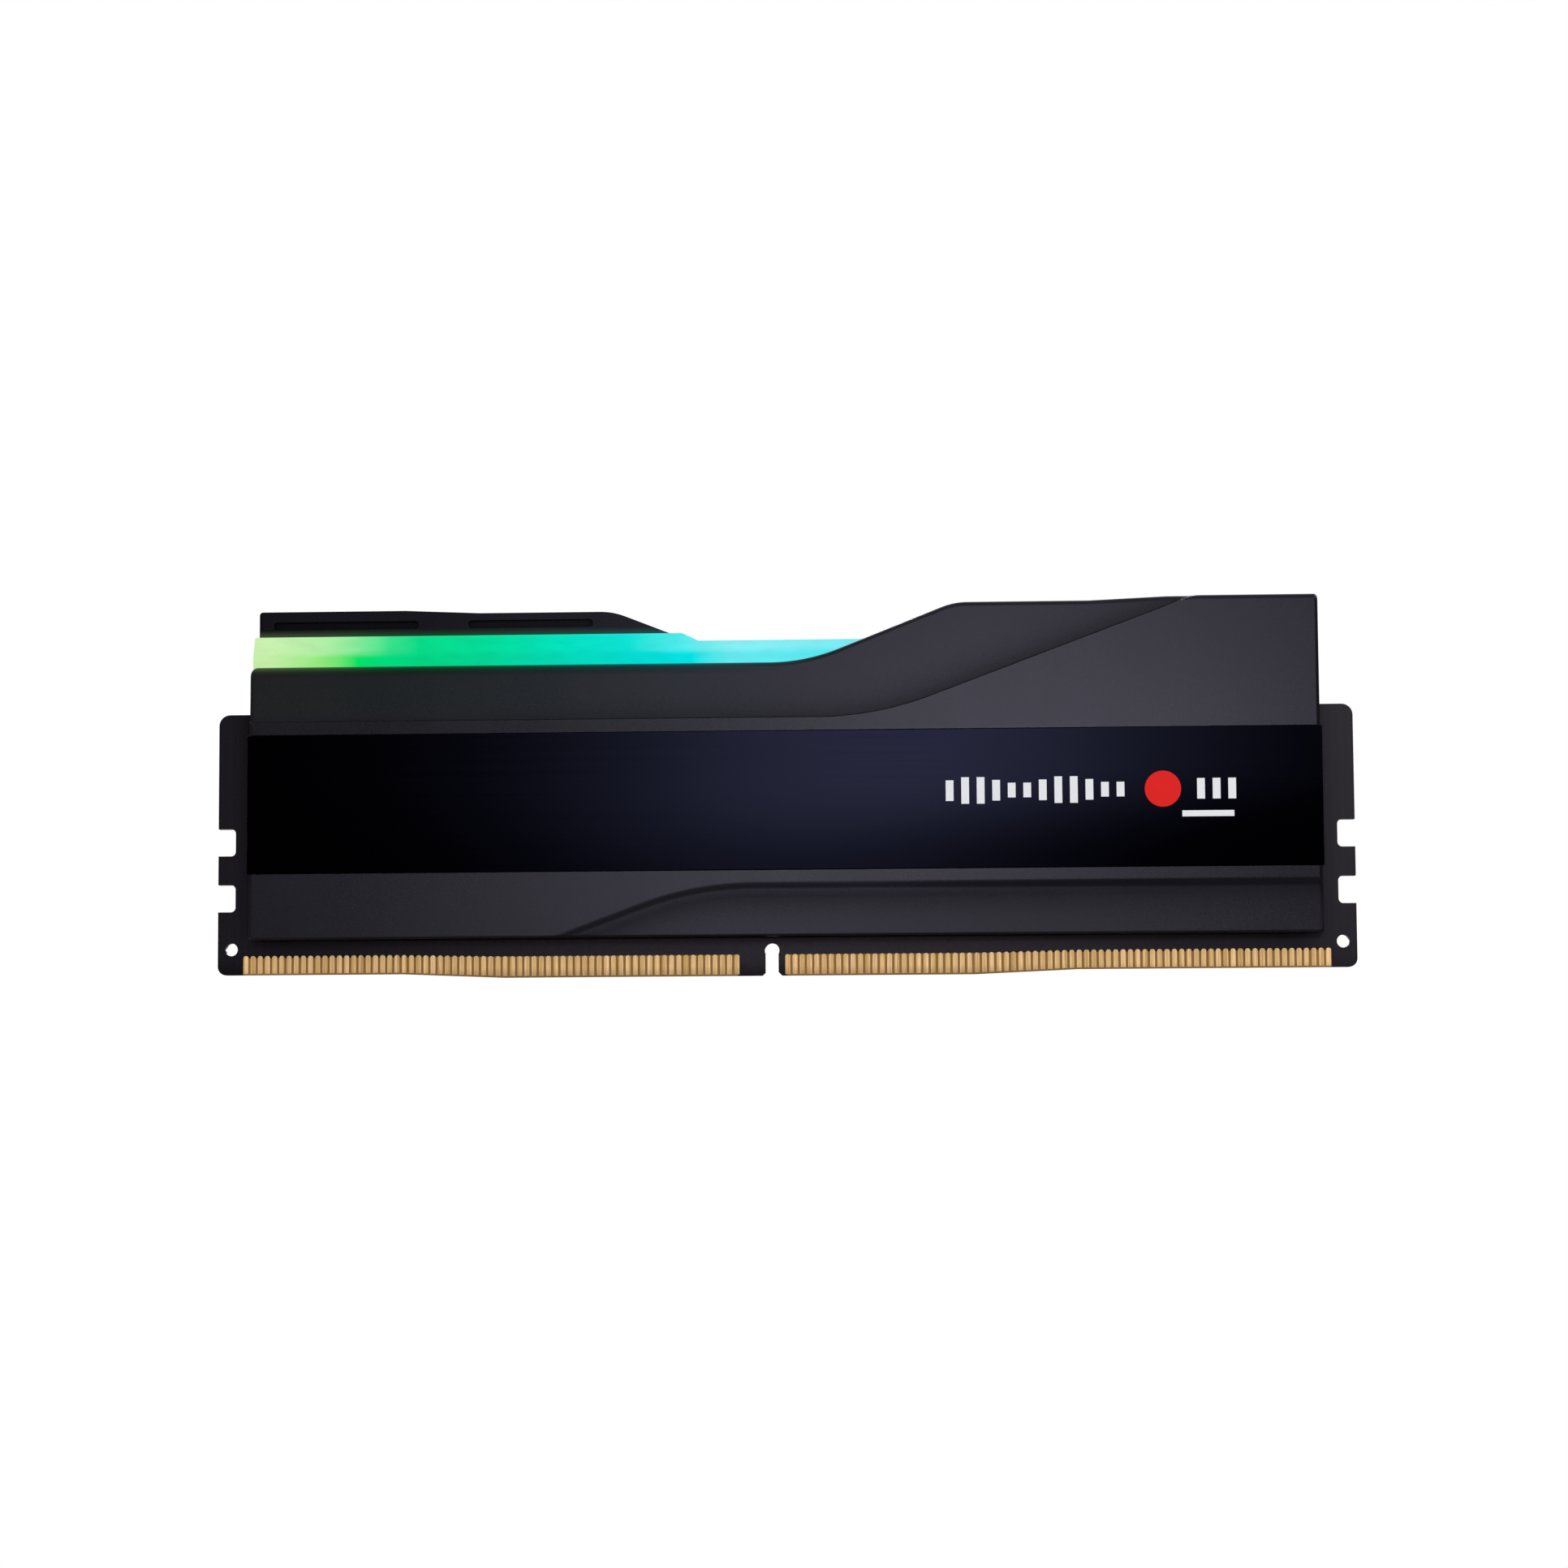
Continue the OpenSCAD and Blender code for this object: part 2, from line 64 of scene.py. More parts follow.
class Tree:
    """A material or world node tree with short calls for the nodes used here."""

    def __init__(self, owner):
        owner.use_nodes = True
        self.tree = owner.node_tree
        self.tree.nodes.clear()

    def put(self, socket, value):
        if isinstance(value, bpy.types.NodeSocket):
            self.tree.links.new(value, socket)
        else:
            socket.default_value = value

    def add(self, kind, inputs=None, **settings):
        made = self.tree.nodes.new("ShaderNode" + kind)
        for key, value in settings.items():
            setattr(made, key, value)
        for key, value in (inputs or {}).items():
            self.put(made.inputs[key], value)
        return made

    def place_mm(self, scale=(1, 1, 1)):
        """Place in millimetres in the module's own frame, stretched by scale."""
        where = self.add("TexCoord").outputs["Object"]
        size = tuple(s / MM for s in scale)
        return self.add("Mapping", {"Vector": where, "Scale": size}).outputs["Vector"]

    def axis(self, name):
        """One coordinate in millimetres."""
        return self.add("SeparateXYZ", {"Vector": self.place_mm()}).outputs[name]

    def along_face(self):
        """Millimetres to the right of the middle, seen from in front of whichever face this is."""
        return self.product(self.axis("X"), self.span(self.axis("Y"), -0.1, 0.1, 1.0, -1.0))

    def noise(self, where, scale, detail=2.0, roughness=0.5):
        inputs = {"Vector": where, "Scale": scale, "Detail": detail, "Roughness": roughness}
        return self.add("TexNoise", inputs).outputs["Fac"]

    def math(self, operation, a, b=0.0):
        return self.add("Math", {0: a, 1: b}, operation=operation).outputs[0]

    def product(self, first, *rest):
        for factor in rest:
            first = self.math("MULTIPLY", first, factor)
        return first

    def span(self, value, low, high, to_low=0.0, to_high=1.0, smooth=True):
        """value carried from low..high to to_low..to_high, held at both ends."""
        made = self.add("MapRange", interpolation_type="SMOOTHSTEP" if smooth else "LINEAR")
        for key, v in zip(("Value", "From Min", "From Max", "To Min", "To Max"),
                          (value, low, high, to_low, to_high)):
            self.put(made.inputs[key], v)
        return made.outputs["Result"]

    def mix(self, share, a, b, blend="MIX"):
        """a and b mixed by share; sockets 6, 7 and 2 are the Mix node's colours."""
        made = self.add("Mix", data_type="RGBA", blend_type=blend)
        self.put(made.inputs["Factor"], share)
        self.put(made.inputs[6], a)
        self.put(made.inputs[7], b)
        return made.outputs[2]

    def darken(self, share, colour, tone):
        """colour, multiplied by the grey value tone where share is 1."""
        return self.mix(share, colour, self.mix(1.0, colour, (tone, tone, tone, 1), "MULTIPLY"))

    def ramp(self, value, stops):
        """Colours between (place, colour) stops."""
        made = self.add("ValToRGB", {"Fac": value})
        band = made.color_ramp
        while len(band.elements) > 1:
            band.elements.remove(band.elements[-1])
        band.elements[0].position, band.elements[0].color = stops[0]
        for place, colour in stops[1:]:
            band.elements.new(place).color = colour
        return made.outputs["Color"]

    def bump(self, height, depth_mm, strength=1.0, normal=None):
        inputs = {"Height": height, "Distance": depth_mm * MM, "Strength": strength}
        if normal is not None:
            inputs["Normal"] = normal
        return self.add("Bump", inputs).outputs["Normal"]

    def edge_wear(self, radius_mm, grain):
        """1 along sharp outer edges, broken up by grain, 0 elsewhere."""
        soft = self.add("Bevel", {"Radius": radius_mm * MM}, samples=4).outputs["Normal"]
        sharp = self.add("NewGeometry").outputs["Normal"]
        dot = self.add("VectorMath", {0: soft, 1: sharp}, operation="DOT_PRODUCT").outputs["Value"]
        return self.product(self.span(dot, 0.995, 0.86), self.span(grain, 0.35, 0.65))

    def wave(self):
        """Colour of the lit bar at a place along the module."""
        along = self.span(self.axis("X"), -BAR_END, BAR_END, 0.0, 1.0, False)
        return self.ramp(along, [((x + BAR_END) / (2 * BAR_END), linear(*rgb)) for x, rgb in GLOW])

    def crevice_shade(self, reach_mm, least, tight=0.2, clear=0.9):
        """A grey factor for painted shade: 1 in the open, falling to least in tight corners."""
        open_share = self.add("AmbientOcclusion", {"Distance": reach_mm * MM}, samples=6).outputs["AO"]
        grey = self.span(open_share, tight, clear, least, 1.0)
        return self.add("CombineXYZ", {"X": grey, "Y": grey, "Z": grey}).outputs[0]

    def surface(self, **inputs):
        named = {k.replace("_", " "): v for k, v in inputs.items()}
        shader = self.add("BsdfPrincipled", named)
        self.add("OutputMaterial", {"Surface": shader.outputs[0]})


def material(name):
    made = bpy.data.materials.new(name)
    return made, Tree(made)


# ---------------------------------------------------------------- finishes

# The coat's two close tones, the specks of its grain and bare worn metal, as linear colours
COAT_DARK = (0.0105, 0.0100, 0.0132, 1)
COAT_LIGHT = (0.0130, 0.0123, 0.0160, 1)
COAT_SPECK = (0.022, 0.021, 0.027, 1)
COAT_WORN = (0.06, 0.058, 0.068, 1)

# Painted shade: what is left of the coat's tone on the ends, inner faces, slot floors and the lip under the
# lit bar
END_SHADE, INNER_SHADE, SLOT_SHADE, LIP_SHADE = 0.7, 0.68, 0.6, 0.15

# Where that painted shade sets in and where it is full, in millimetres: along, out from the board, and up
END_X, INNER_Y, LIP_Z = (62.0, 62.2), (2.9, 2.75), (35.3, 36.4)
SLOT_X, SLOT_Y_NEAR, SLOT_Y_FAR, SLOT_OFF_Z = (61.6, 61.0), (2.38, 2.5), (2.8, 2.72), (0.6, 0.5)

# Painted light, as glow in the coat, that the bar throws on the metal: on the lip below it, fainter further
# down, and on the wing behind
SPILL, SPILL_FAINT, SPILL_BEHIND = 0.125, 0.005, 0.14
SPILL_X, SPILL_Y, SPILL_Z, FAINT_Z = (6.0, -14.0), (2.8, 2.9), (34.9, 36.5), (28.0, 33.0)
BEHIND_Y, BEHIND_Z, BEHIND_RISE = (2.8, 2.7), (35.5, 38.0), 1.25
SPILL_POWER, BEHIND_POWER, SPILL_GAMMA = 4.5, 1.3, 1.35

# Crown in the shading of the upper and lower face: the height where it starts, and its slope
CROWN_TOP, CROWN_FOOT = (28.0, 0.08), (12.2, 0.02)

# The strip's black, and the blue of the painted highlight on it with its middle, reach and strength from the
# strip's foot to its top
STRIP_BLACK = (0.0001, 0.0001, 0.0003, 1)
STRIP_HIGHLIGHT_BLUE = (0.0074, 0.0079, 0.0165, 1)
HIGHLIGHT_Z, HIGHLIGHT_CENTRE, HIGHLIGHT_REACH = (13, 25), (0.0, 10.5), (27.0, 34.5)
HIGHLIGHT_FADE_Z, HIGHLIGHT_FADE = (11.5, 23.5), (0.35, 1.0)

# Solder mask, bare laminate, and the edges of the bare patches between the contacts, in millimetres
MASK_DARK, MASK_LIGHT = (0.0009, 0.0008, 0.0011, 1), (0.0015, 0.0013, 0.0018, 1)
LAMINATE = (150, 112, 62)
MASK_SHEEN, MASK_SHEEN_TINT = 0.128, (0.91, 0.8, 1.0, 1)
KEY_GAP_X, KEY_GAP_HALF, BARE_X, BARE_Z = -2.55, (2.85, 2.95), (63.7, 63.6), (2.5, 2.4)

# Gold in its deepest and palest contacts, where it is wiped, and at the board's edge
GOLD_DEEP, GOLD_PALE, GOLD_WIPED, GOLD_EDGE = (182, 146, 86), (232, 196, 148), (176, 132, 80), (130, 108, 76)

# Colours of the lit bar from its left end to its right end: (place in mm, sRGB colour)
GLOW = (
    (-61, (205, 243, 178)), (-54, (176, 239, 166)), (-50, (130, 237, 154)), (-46.4, (58, 228, 141)),
    (-42.8, (4, 222, 137)), (-34, (0, 223, 157)), (-25, (0, 227, 194)), (-18, (12, 229, 216)),
    (-12, (78, 236, 237)), (-6, (136, 241, 246)), (2, (130, 239, 245)), (10, (118, 236, 246)),
    (18, (76, 194, 250)), (27, (66, 136, 250)), (39, (108, 98, 246)), (51, (168, 84, 236)),
    (62, (226, 88, 204)),
)
BAR_END = 62.3

# Along the bar: where its brightness and its richness of colour change; and the height of its deeper foot
LIME_X, GREEN_X, TEAL_X, CYAN_X = (-61.0, -54.0), (-55.0, -49.0), (-48.0, -36.0), (-12.0, -3.0)
BAR_FOOT_Z = (39.1, 38.1)
DIFFUSER_BASE = (0.0005, 0.0007, 0.0007, 1)


def coat_painted_shade(t, base, side, depth, height, under_bar):
    """The coat with painted shade: darker on the ends, the inner faces, the slots' floors and the lip under
    the lit bar.
    """
    base = t.darken(t.span(side, *END_X), base, END_SHADE)
    base = t.darken(t.span(depth, *INNER_Y), base, INNER_SHADE)
    off_slot = t.math("ABSOLUTE", t.math("SUBTRACT", height, SLOT_Z))
    sunk = t.product(t.span(depth, *SLOT_Y_NEAR), t.span(depth, *SLOT_Y_FAR), t.span(off_slot, *SLOT_OFF_Z),
                     t.span(side, *SLOT_X))
    base = t.darken(sunk, base, SLOT_SHADE)
    return t.darken(t.product(under_bar, t.span(height, *LIP_Z, smooth=False)), base, LIP_SHADE)


def bar_spill(t, depth, height, under_bar):
    """Strength of the bar's light painted as glow on the metal below it and on the inner face of the wing
    behind it.
    """
    near = t.product(t.math("POWER", t.span(height, *SPILL_Z, smooth=False), SPILL_POWER), SPILL)
    below = t.product(t.math("ADD", near, t.span(height, *FAINT_Z, 0.0, SPILL_FAINT)), under_bar)
    bar_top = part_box("light_bar")[1].z / MM
    above = t.math("POWER", t.span(height, bar_top + BEHIND_RISE, bar_top, smooth=False), BEHIND_POWER)
    behind = t.product(above, t.span(depth, *BEHIND_Y, 0.0, SPILL_BEHIND), t.span(height, *BEHIND_Z))
    return t.math("ADD", below, behind)


def face_crown(t, height):
    """Height field that makes the upper and lower face catch the light as if they leaned back a little."""
    top = t.product(t.math("MAXIMUM", t.math("SUBTRACT", height, CROWN_TOP[0])), CROWN_TOP[1])
    foot = t.product(t.math("MAXIMUM", t.math("SUBTRACT", CROWN_FOOT[0], height)), CROWN_FOOT[1])
    return t.math("SUBTRACT", 0.0, t.math("ADD", top, foot))


def spreader_coat():
    """Charcoal anodised aluminium, bead-blasted: satin grain, faintly worn edges, painted shade and a painted
    glow from the bar.
    """
    made, t = material("spreader_coat")
    where = t.place_mm()
    grain = t.noise(where, 7.0, 3.0, 0.6)
    cloud = t.noise(where, 0.09, 2.0)
    wear = t.edge_wear(0.16, t.noise(where, 1.4, 3.0))
    side, depth, height = t.math("ABSOLUTE", t.axis("X")), t.math("ABSOLUTE", t.axis("Y")), t.axis("Z")
    under_bar = t.product(t.span(depth, *SPILL_Y), t.span(t.along_face(), *SPILL_X))
    base = t.mix(cloud, COAT_DARK, COAT_LIGHT)
    base = t.mix(t.product(t.span(grain, 0.3, 0.75), 0.3), base, COAT_SPECK)
    base = t.mix(t.product(wear, 0.12), base, COAT_WORN)
    # Painted shade on the ends, inner faces, slot floors and the lip under the bar
    base = coat_painted_shade(t, base, side, depth, height, under_bar)
    # Painted shade in the coat's corners and creases
    base = t.mix(1.0, base, t.crevice_shade(1.2, 0.35), "MULTIPLY")
    fine_rough = t.span(grain, 0.2, 0.8, 0.255, 0.325, False)
    rough = t.math("ADD", fine_rough, t.span(cloud, 0.3, 0.7, -0.01, 0.015, False))
    t.surface(
        Base_Color=base, Metallic=1.0, Roughness=rough,
        Normal=t.bump(grain, 0.01, 0.3, t.bump(face_crown(t, height), 1.0)),
        # The bar's light painted on the metal as a glow
        Emission_Color=t.add("Gamma", {"Color": t.wave(), "Gamma": SPILL_GAMMA}).outputs[0],
        Emission_Strength=bar_spill(t, depth, height, under_bar),
    )
    return made


def brushed_black():
    """Black anodised aluminium brushed along its length, with a painted midnight-blue highlight around the
    middle.
    """
    made, t = material("brushed_black")
    fine = t.noise(t.place_mm((0.04, 1.0, 11.0)), 1.0, 4.0, 0.65)
    broad = t.noise(t.place_mm((0.012, 0.5, 1.6)), 1.0, 3.0, 0.55)
    streak = t.math("ADD", t.product(fine, 0.5), t.product(broad, 0.5))
    rise = t.axis("Z")
    # Painted highlight: a blue bell along the strip, weaker towards its foot and broken up by the brushing
    centre, reach = t.span(rise, *HIGHLIGHT_Z, *HIGHLIGHT_CENTRE), t.span(rise, *HIGHLIGHT_Z, *HIGHLIGHT_REACH)
    along = t.math("DIVIDE", t.math("SUBTRACT", t.along_face(), centre), reach)
    bell = t.math("EXPONENT", t.product(along, along, -1.0))
    painted_highlight = t.product(bell, t.span(rise, *HIGHLIGHT_FADE_Z, *HIGHLIGHT_FADE), t.span(streak, 0.36, 0.64, 0.8, 1.25, False))
    base = t.mix(painted_highlight, STRIP_BLACK, STRIP_HIGHLIGHT_BLUE)
    rough = t.span(streak, 0.3, 0.7, 0.34, 0.46, False)
    across = t.add("CombineXYZ", {"Z": 1.0}).outputs[0]
    t.surface(Base_Color=base, Metallic=1.0, Roughness=rough, Anisotropic=0.5, Tangent=across,
              Normal=t.bump(streak, 0.005, 0.2))
    return made


def light_diffuser():
    """Milky diffuser lit from below: a colour wave along its length, deeper in tone near its foot."""
    made, t = material("light_diffuser")
    colour = t.wave()
    along = t.axis("X")
    value = t.math("ADD", t.span(along, *GREEN_X, 0.97, 0.915), t.span(along, *CYAN_X, 0.0, 0.06))
    rich = t.math("SUBTRACT", t.span(along, *LIME_X, 1.08, 1.36), t.span(along, *TEAL_X, 0.0, 0.2))
    deep = t.add("HueSaturation", {"Saturation": rich, "Value": value, "Color": colour}).outputs[0]
    swirl = t.noise(t.place_mm((0.12, 1.0, 0.9)), 1.0, 3.0)
    foot = t.span(t.math("ADD", t.axis("Z"), t.product(swirl, 0.9)), *BAR_FOOT_Z)
    glow = t.mix(foot, colour, deep)
    milk = t.span(t.noise(t.place_mm((0.35, 1.0, 1.0)), 1.0, 2.0), 0.3, 0.7, 0.94, 1.0)
    t.surface(
        Base_Color=DIFFUSER_BASE, Roughness=0.4, Specular_IOR_Level=0.008, Emission_Color=glow,
        Emission_Strength=milk, Normal=t.bump(t.noise(t.place_mm(), 2.5, 2.0), 0.01, 0.3),
    )
    return made


def board_mask():
    """Semi-gloss black solder mask with a faint weave and raised tracks, painted shadow under the spreaders;
    bare laminate between contacts.
    """
    made, t = material("board_mask")
    where = t.place_mm()
    weave = t.add("TexWave", {"Vector": where, "Scale": 1.3, "Distortion": 0.6}, bands_direction="DIAGONAL")
    tracks = t.add("TexBrick", {"Vector": t.place_mm((0.55, 1.0, 0.55)), "Scale": 1.0, "Mortar Size": 0.09,
                                "Color1": (0, 0, 0, 1), "Color2": (0.3, 0.3, 0.3, 1), "Mortar": (1, 1, 1, 1)})
    spots = t.noise(where, 5.0, 3.0)
    base = t.mix(t.span(spots, 0.3, 0.7), MASK_DARK, MASK_LIGHT)
    normal = t.bump(tracks.outputs["Color"], 0.01, 0.12, t.bump(weave.outputs["Fac"], 0.01, 0.12))
    # Painted shadow of the spreaders on the board and painted shade in its corners
    shade = t.crevice_shade(3.4, 0.04, 0.3, 1.0)
    # The painted shadow eases towards the right end of each face
    shade = t.mix(t.span(t.along_face(), 60.0, 63.0, 0.0, 0.6), shade, WHITE)
    open_share = t.add("SeparateXYZ", {"Vector": shade}).outputs["X"]
    # The sheen fades where the painted shadow falls and grows towards the right end
    sheen = t.product(open_share, MASK_SHEEN, t.span(t.along_face(), 58.0, 66.0, 1.0, 1.4))
    from_gap = t.math("ABSOLUTE", t.math("SUBTRACT", t.axis("X"), KEY_GAP_X))
    bare = t.product(t.span(from_gap, *KEY_GAP_HALF), t.span(t.axis("Z"), *BARE_Z),
                     t.span(t.math("ABSOLUTE", t.axis("X")), *BARE_X))
    base = t.mix(bare, t.mix(1.0, base, shade, "MULTIPLY"), linear(*LAMINATE))
    t.surface(Base_Color=base, Roughness=t.span(spots, 0.2, 0.8, 0.29, 0.37), Normal=normal,
              Specular_IOR_Level=sheen, Specular_Tint=MASK_SHEEN_TINT)
    return made


def contact_gold():
    """Hard gold plating: uneven from contact to contact, wiped up and down, darker towards the board's edge.
    """
    made, t = material("contact_gold")
    wipe = t.noise(t.place_mm((14.0, 1.0, 0.5)), 1.0, 3.0)
    tint = t.noise(t.place_mm((1.1, 0.0, 0.0)), 1.0, 3.0, 0.8)
    base = t.mix(t.span(tint, 0.35, 0.65), linear(*GOLD_DEEP), linear(*GOLD_PALE))
    base = t.mix(t.span(wipe, 0.55, 0.8, 0.0, 0.3), base, linear(*GOLD_WIPED))
    base = t.mix(t.span(t.axis("Z"), 0.1, 1.3, 0.45, 0.0), base, linear(*GOLD_EDGE))
    # Painted shade between and around the contacts
    base = t.mix(1.0, base, t.crevice_shade(0.5, 0.75), "MULTIPLY")
    t.surface(Base_Color=base, Metallic=1.0, Roughness=t.span(wipe, 0.2, 0.8, 0.5, 0.62),
              Normal=t.bump(wipe, 0.004, 0.3))
    return made


def moulded(name, dark, light, rough, grain_scale, grain_mm=0.015):
    """A moulded, pressed or fired surface: two close tones, a grain of its own scale and a matching bump."""
    made, t = material(name)
    grain = t.noise(t.place_mm(), grain_scale, 4.0, 0.6)
    base = t.mix(t.span(grain, 0.3, 0.7), linear(*dark), linear(*light))
    t.surface(Base_Color=base, Roughness=t.span(grain, 0.2, 0.8, rough - 0.06, rough + 0.06),
              Normal=t.bump(grain, grain_mm, 0.4))
    return made


def ink(name, colour, thin):
    """Screen-printed ink: slightly uneven cover with a fine dot grain."""
    made, t = material(name)
    cover = t.noise(t.place_mm(), 12.0, 3.0)
    base = t.mix(t.span(cover, 0.55, 0.8, 0.0, 0.5), linear(*colour), linear(*thin))
    t.surface(Base_Color=base, Roughness=0.6, Specular_IOR_Level=0.2, Normal=t.bump(cover, 0.004, 0.4))
    return made


def fired(name, body, rough):
    """The body of a small fired chip part: one tone with a slightly paler mottle."""
    made, t = material(name)
    grain = t.noise(t.place_mm(), 9.0, 3.0)
    base = t.mix(t.span(grain, 0.3, 0.7), linear(*body), linear(*(int(v * 1.15) for v in body)))
    t.surface(Base_Color=base, Roughness=rough, Normal=t.bump(grain, 0.01, 0.4))
    return made


def label_film():
    """Blank silver polyester label: soft satin with a fine lengthwise grain."""
    made, t = material("label_film")
    grain = t.noise(t.place_mm((0.2, 1.0, 9.0)), 1.0, 3.0)
    base = t.mix(t.span(grain, 0.3, 0.7), linear(186, 188, 192), linear(202, 204, 208))
    t.surface(Base_Color=base, Metallic=0.6, Roughness=t.span(grain, 0.2, 0.8, 0.3, 0.42),
              Normal=t.bump(grain, 0.004, 0.3))
    return made


FINISH = {
    "spreader_coat": spreader_coat(),
    "brushed_black": brushed_black(),
    "light_diffuser": light_diffuser(),
    "board_mask": board_mask(),
    "contact_gold": contact_gold(),
    "chip_resin": moulded("chip_resin", (26, 26, 28), (38, 38, 40), 0.55, 14.0),
    "ferrite": moulded("ferrite", (58, 58, 60), (78, 78, 80), 0.6, 10.0),
    "capacitor_ceramic": fired("capacitor_ceramic", (158, 132, 104), 0.45),
    "resistor_film": fired("resistor_film", (24, 24, 26), 0.3),
    "led_lens": moulded("led_lens", (226, 228, 220), (240, 240, 234), 0.25, 6.0),
    "thermal_pad": moulded("thermal_pad", (120, 122, 130), (142, 144, 150), 0.75, 7.0, 0.03),
    "adhesive_film": moulded("adhesive_film", (190, 188, 178), (206, 204, 196), 0.4, 5.0),
    "foam_tape": moulded("foam_tape", (20, 20, 21), (34, 34, 35), 0.85, 8.0, 0.04),
    "print_white": ink("print_white", (226, 227, 230), (188, 189, 196)),
    "print_red": ink("print_red", (216, 15, 9), (186, 10, 8)),
    "label_film": label_film(),
}


# ---------------------------------------------------------------- pieces

# Lengths in millimetres under which points are welded, and angles in degrees above which an edge is sharp
REFINE_WELD, LOFT_WELD = 0.001, 0.002
FLAT_DEG, REFINED_DEG, SHELL_DEG = 1, 40, 34

def give(piece, slot, node):
    """Finish and body of a new piece that stands for a CAD node, which it hides."""
    piece.data.materials.append(FINISH[slot])
    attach(piece, "root")
    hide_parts(node)
    return piece


def smooth_by_angle(mesh, degrees):
    mesh.shade_smooth()
    mesh.set_sharp_from_angle(angle=math.radians(degrees))


def lean_on_faces(piece):
    """Shading that follows the large faces, so a rounded edge doesn't bend it."""
    weighted = piece.modifiers.new("weighted", "WEIGHTED_NORMAL")
    weighted.keep_sharp = True
    weighted.thresh = 0


def object_of(name, mesh):
    made = bpy.data.objects.new(name, mesh)
    bpy.context.scene.collection.objects.link(made)
    return made


def refine(node, name, slot, radius_mm, segments=2, corner_deg=25):
    """A copy of a CAD node's shape with every sharp edge rounded."""
    bm = bmesh.new()
    bm.from_mesh(nodes[node].data)
    bmesh.ops.remove_doubles(bm, verts=bm.verts, dist=REFINE_WELD * MM)
    bmesh.ops.dissolve_limit(bm, angle_limit=math.radians(FLAT_DEG), verts=bm.verts, edges=bm.edges)
    corner = math.radians(corner_deg)
    sharp = [e for e in bm.edges if len(e.link_faces) == 2 and e.calc_face_angle(0) > corner]
    bmesh.ops.bevel(bm, geom=sharp, offset=radius_mm * MM, offset_type="OFFSET", segments=segments,
                    profile=0.5, affect="EDGES", clamp_overlap=True)
    bmesh.ops.dissolve_degenerate(bm, edges=bm.edges, dist=REFINE_WELD * MM)
    mesh = bpy.data.meshes.new(name)
    bm.to_mesh(mesh)
    bm.free()
    smooth_by_angle(mesh, REFINED_DEG)
    piece = object_of(name, mesh)
    lean_on_faces(piece)
    return give(piece, slot, node)


def loft(name, sections):
    """A closed solid through cross-sections, each a closed loop of points in millimetres."""
    count = len(sections[0])
    verts = [p for s in sections for p in s]
    faces = []
    for i in range(len(sections) - 1):
        for j in range(count):
            k = (j + 1) % count
            faces.append((i * count + j, i * count + k, (i + 1) * count + k, (i + 1) * count + j))
    faces.append(tuple(range(count))[::-1])
    last = (len(sections) - 1) * count
    faces.append(tuple(range(last, last + count)))
    mesh = bpy.data.meshes.new(name)
    mesh.from_pydata(verts, [], faces)
    bm = bmesh.new()
    bm.from_mesh(mesh)
    bmesh.ops.remove_doubles(bm, verts=bm.verts, dist=LOFT_WELD)
    bmesh.ops.dissolve_degenerate(bm, edges=bm.edges, dist=LOFT_WELD)
    bmesh.ops.recalc_face_normals(bm, faces=bm.faces)
    bmesh.ops.scale(bm, vec=(MM, MM, MM), verts=bm.verts)
    bm.to_mesh(mesh)
    bm.free()
    return mesh


# ---------------------------------------------------------------- heat spreader

# Outline and creases of the front spreader, in millimetres; each crease turns once, by an arc
SLOPE_ANGLE = math.radians(21.5)
CREASE_ANGLE = math.radians(20.4)
CREASE_R = 38.0
UPPER_CREASE = (4.2, 30.05)
LOWER_CREASE = (-3.4, 10.35)
LOW_EDGE = 36.6
FOOT_X, FOOT_R, SHOULDER_R = -1.4, 22.0, 8.0
WING_DROP = 0.38
WING_STEP = (36.0, 45.0)
LOW_CORNER_R, WING_CORNER_R = 0.8, 0.4

# Beyond each crease: the width of the rounded step, then step, hollow, fade and lean as in field_drop
UPPER_WALL, UPPER_FIELD = 0.16, (0.6, 0.1, 1.6, 0.009)
LOWER_WALL, LOWER_FIELD = 1.0, (0.11, 0.2, 2.0, 0.008)

# Between these places along the module the lower field's step deepens and its lean turns back
DEEPEN_FROM, DEEPEN_TO, DEEPEN_BY, UNBEND_BY = 12.0, 55.0, 0.2, 0.03

# Chamfered ends, rounded edges, and the groove that holds the strip
SIDE_CHAMFER = 0.4
LOW_EDGE_R, TOP_EDGE_R = 0.22, 0.45
GROOVE_DEPTH, GROOVE_GAP = 0.5, 0.05

# A row this close to each rounding keeps the face flat, and upright walls have a little draft
HOLD, WALL_DRAFT = 0.12, 0.03

# How finely the shell is divided: along it and round its corners, and the rows that follow a hollow
COLUMN_STEP, LEAST_STEP = 0.5, 0.004
CORNER_DEG, ROUNDING_DEG = 15, 18
HOLLOW_ROWS = (0.7, 1.0, 1.4, 1.9, 2.5, 3.2, 4.0, 5.0)


def crease_distance(u, v):
    """How far a point lies into the field from a crease that turns at the origin."""
    if u <= 0:
        return v
    if math.atan2(u, CREASE_R - v) < CREASE_ANGLE:
        return CREASE_R - math.hypot(u, CREASE_R - v)
    du = u - CREASE_R * math.sin(CREASE_ANGLE)
    dv = v - CREASE_R * (1 - math.cos(CREASE_ANGLE))
    return dv * math.cos(CREASE_ANGLE) - du * math.sin(CREASE_ANGLE)


def crease_height(u, offset):
    """Height of the line that lies an even distance into the field from the crease."""
    r = CREASE_R - offset
    turn = r * math.sin(CREASE_ANGLE)
    if u <= 0:
        return offset
    if u <= turn:
        return CREASE_R - math.sqrt(r * r - u * u)
    return CREASE_R - r * math.cos(CREASE_ANGLE) + (u - turn) * math.tan(CREASE_ANGLE)


